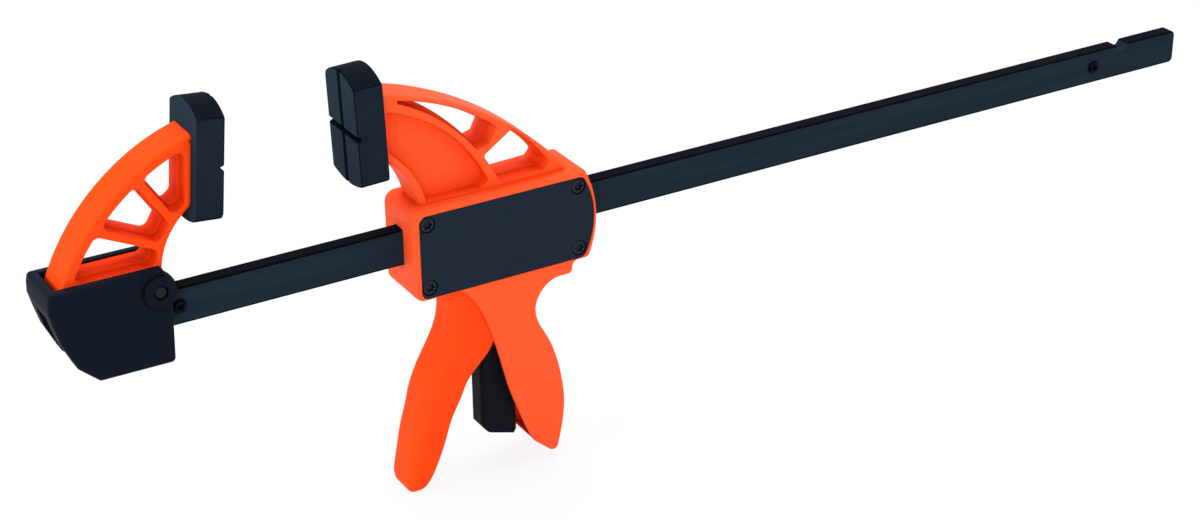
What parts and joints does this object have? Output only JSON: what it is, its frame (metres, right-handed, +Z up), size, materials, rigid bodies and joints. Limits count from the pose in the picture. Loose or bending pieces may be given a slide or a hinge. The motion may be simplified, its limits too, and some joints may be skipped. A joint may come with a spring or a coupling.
{
  "type": "one-handed bar clamp",
  "caption": "Bar clamp with a pad on a fixed jaw and on a sliding jaw, squeezed along its flat bar by a trigger in the handle and let go by a quick-release lever.",
  "frame": {"origin": "bottom centre of the bounding box: the middle of the clamp's length, the middle of the bar's thickness, and the tip of the trigger", "axes": "+X along the bar from the fixed jaw to the far end, +Y through the bar's thickness to the back, +Z up from the bar to the jaw tips"},
  "size_m": [0.52, 0.0266, 0.1825],
  "materials": {
    "orange_plastic": "fine texture",
    "black_plastic": "fine texture",
    "black_steel": "black oxide",
    "bright_steel": "plain",
    "pad_rubber": "matt"
  },
  "bodies": {
    "bar_frame": {"bar": "black_steel", "near_stop_pin": "black_steel", "far_stop_pin": "black_steel", "shoe": "black_plastic", "fixed_jaw_pin": "black_steel", "fixed_jaw_arm": "orange_plastic", "fixed_jaw_tooth": "bright_steel", "fixed_pad": "pad_rubber"},
    "moving_jaw": {"housing": "orange_plastic", "moving_pad": "pad_rubber", "front_cover": "black_plastic", "front_cover_screws": "black_steel", "trigger_pin": "bright_steel", "release_pin": "bright_steel", "drive_spring": "bright_steel", "brake_spring": "bright_steel"},
    "trigger_body": {"trigger": "orange_plastic"},
    "drive": {"drive_plate_front": "bright_steel", "drive_plate_back": "bright_steel"},
    "brake": {"brake_plate": "bright_steel"},
    "release": {"release_lever": "black_plastic"}
  },
  "joints": [
    {"name": "jaw_slide", "type": "slide", "parent": "bar_frame", "child": "moving_jaw", "axis": [1, 0, 0], "range_m": [-0.0482, 0.252]},
    {"name": "trigger_squeeze", "type": "hinge", "parent": "moving_jaw", "child": "trigger_body", "pos_m": [-0.1025, 0, 0.116], "axis": [0, -1, 0], "range_deg": [0, 13], "stiffness_Nm_per_rad": 0.4, "springref_deg": -8.59},
    {"name": "drive_slide", "type": "slide", "parent": "moving_jaw", "child": "drive", "axis": [1, 0, 0], "range_m": [0, 0.005], "deforming": ["drive_spring"]},
    {"name": "release_pull", "type": "hinge", "parent": "moving_jaw", "child": "release", "pos_m": [-0.0725, 0, 0.116], "axis": [0, -1, 0], "range_deg": [0, 5], "stiffness_Nm_per_rad": 0.5, "springref_deg": -5.73},
    {"name": "brake_tilt", "type": "hinge", "parent": "moving_jaw", "child": "brake", "pos_m": [-0.064, 0, 0.1186], "axis": [0, -1, 0], "range_deg": [0, 4.6]}
  ],
  "couplings": [
    {"joint": "drive_slide", "follows": "trigger_squeeze", "m_per_rad": 0.021},
    {"joint": "brake_tilt", "follows": "release_pull", "ratio": 0.9}
  ]
}
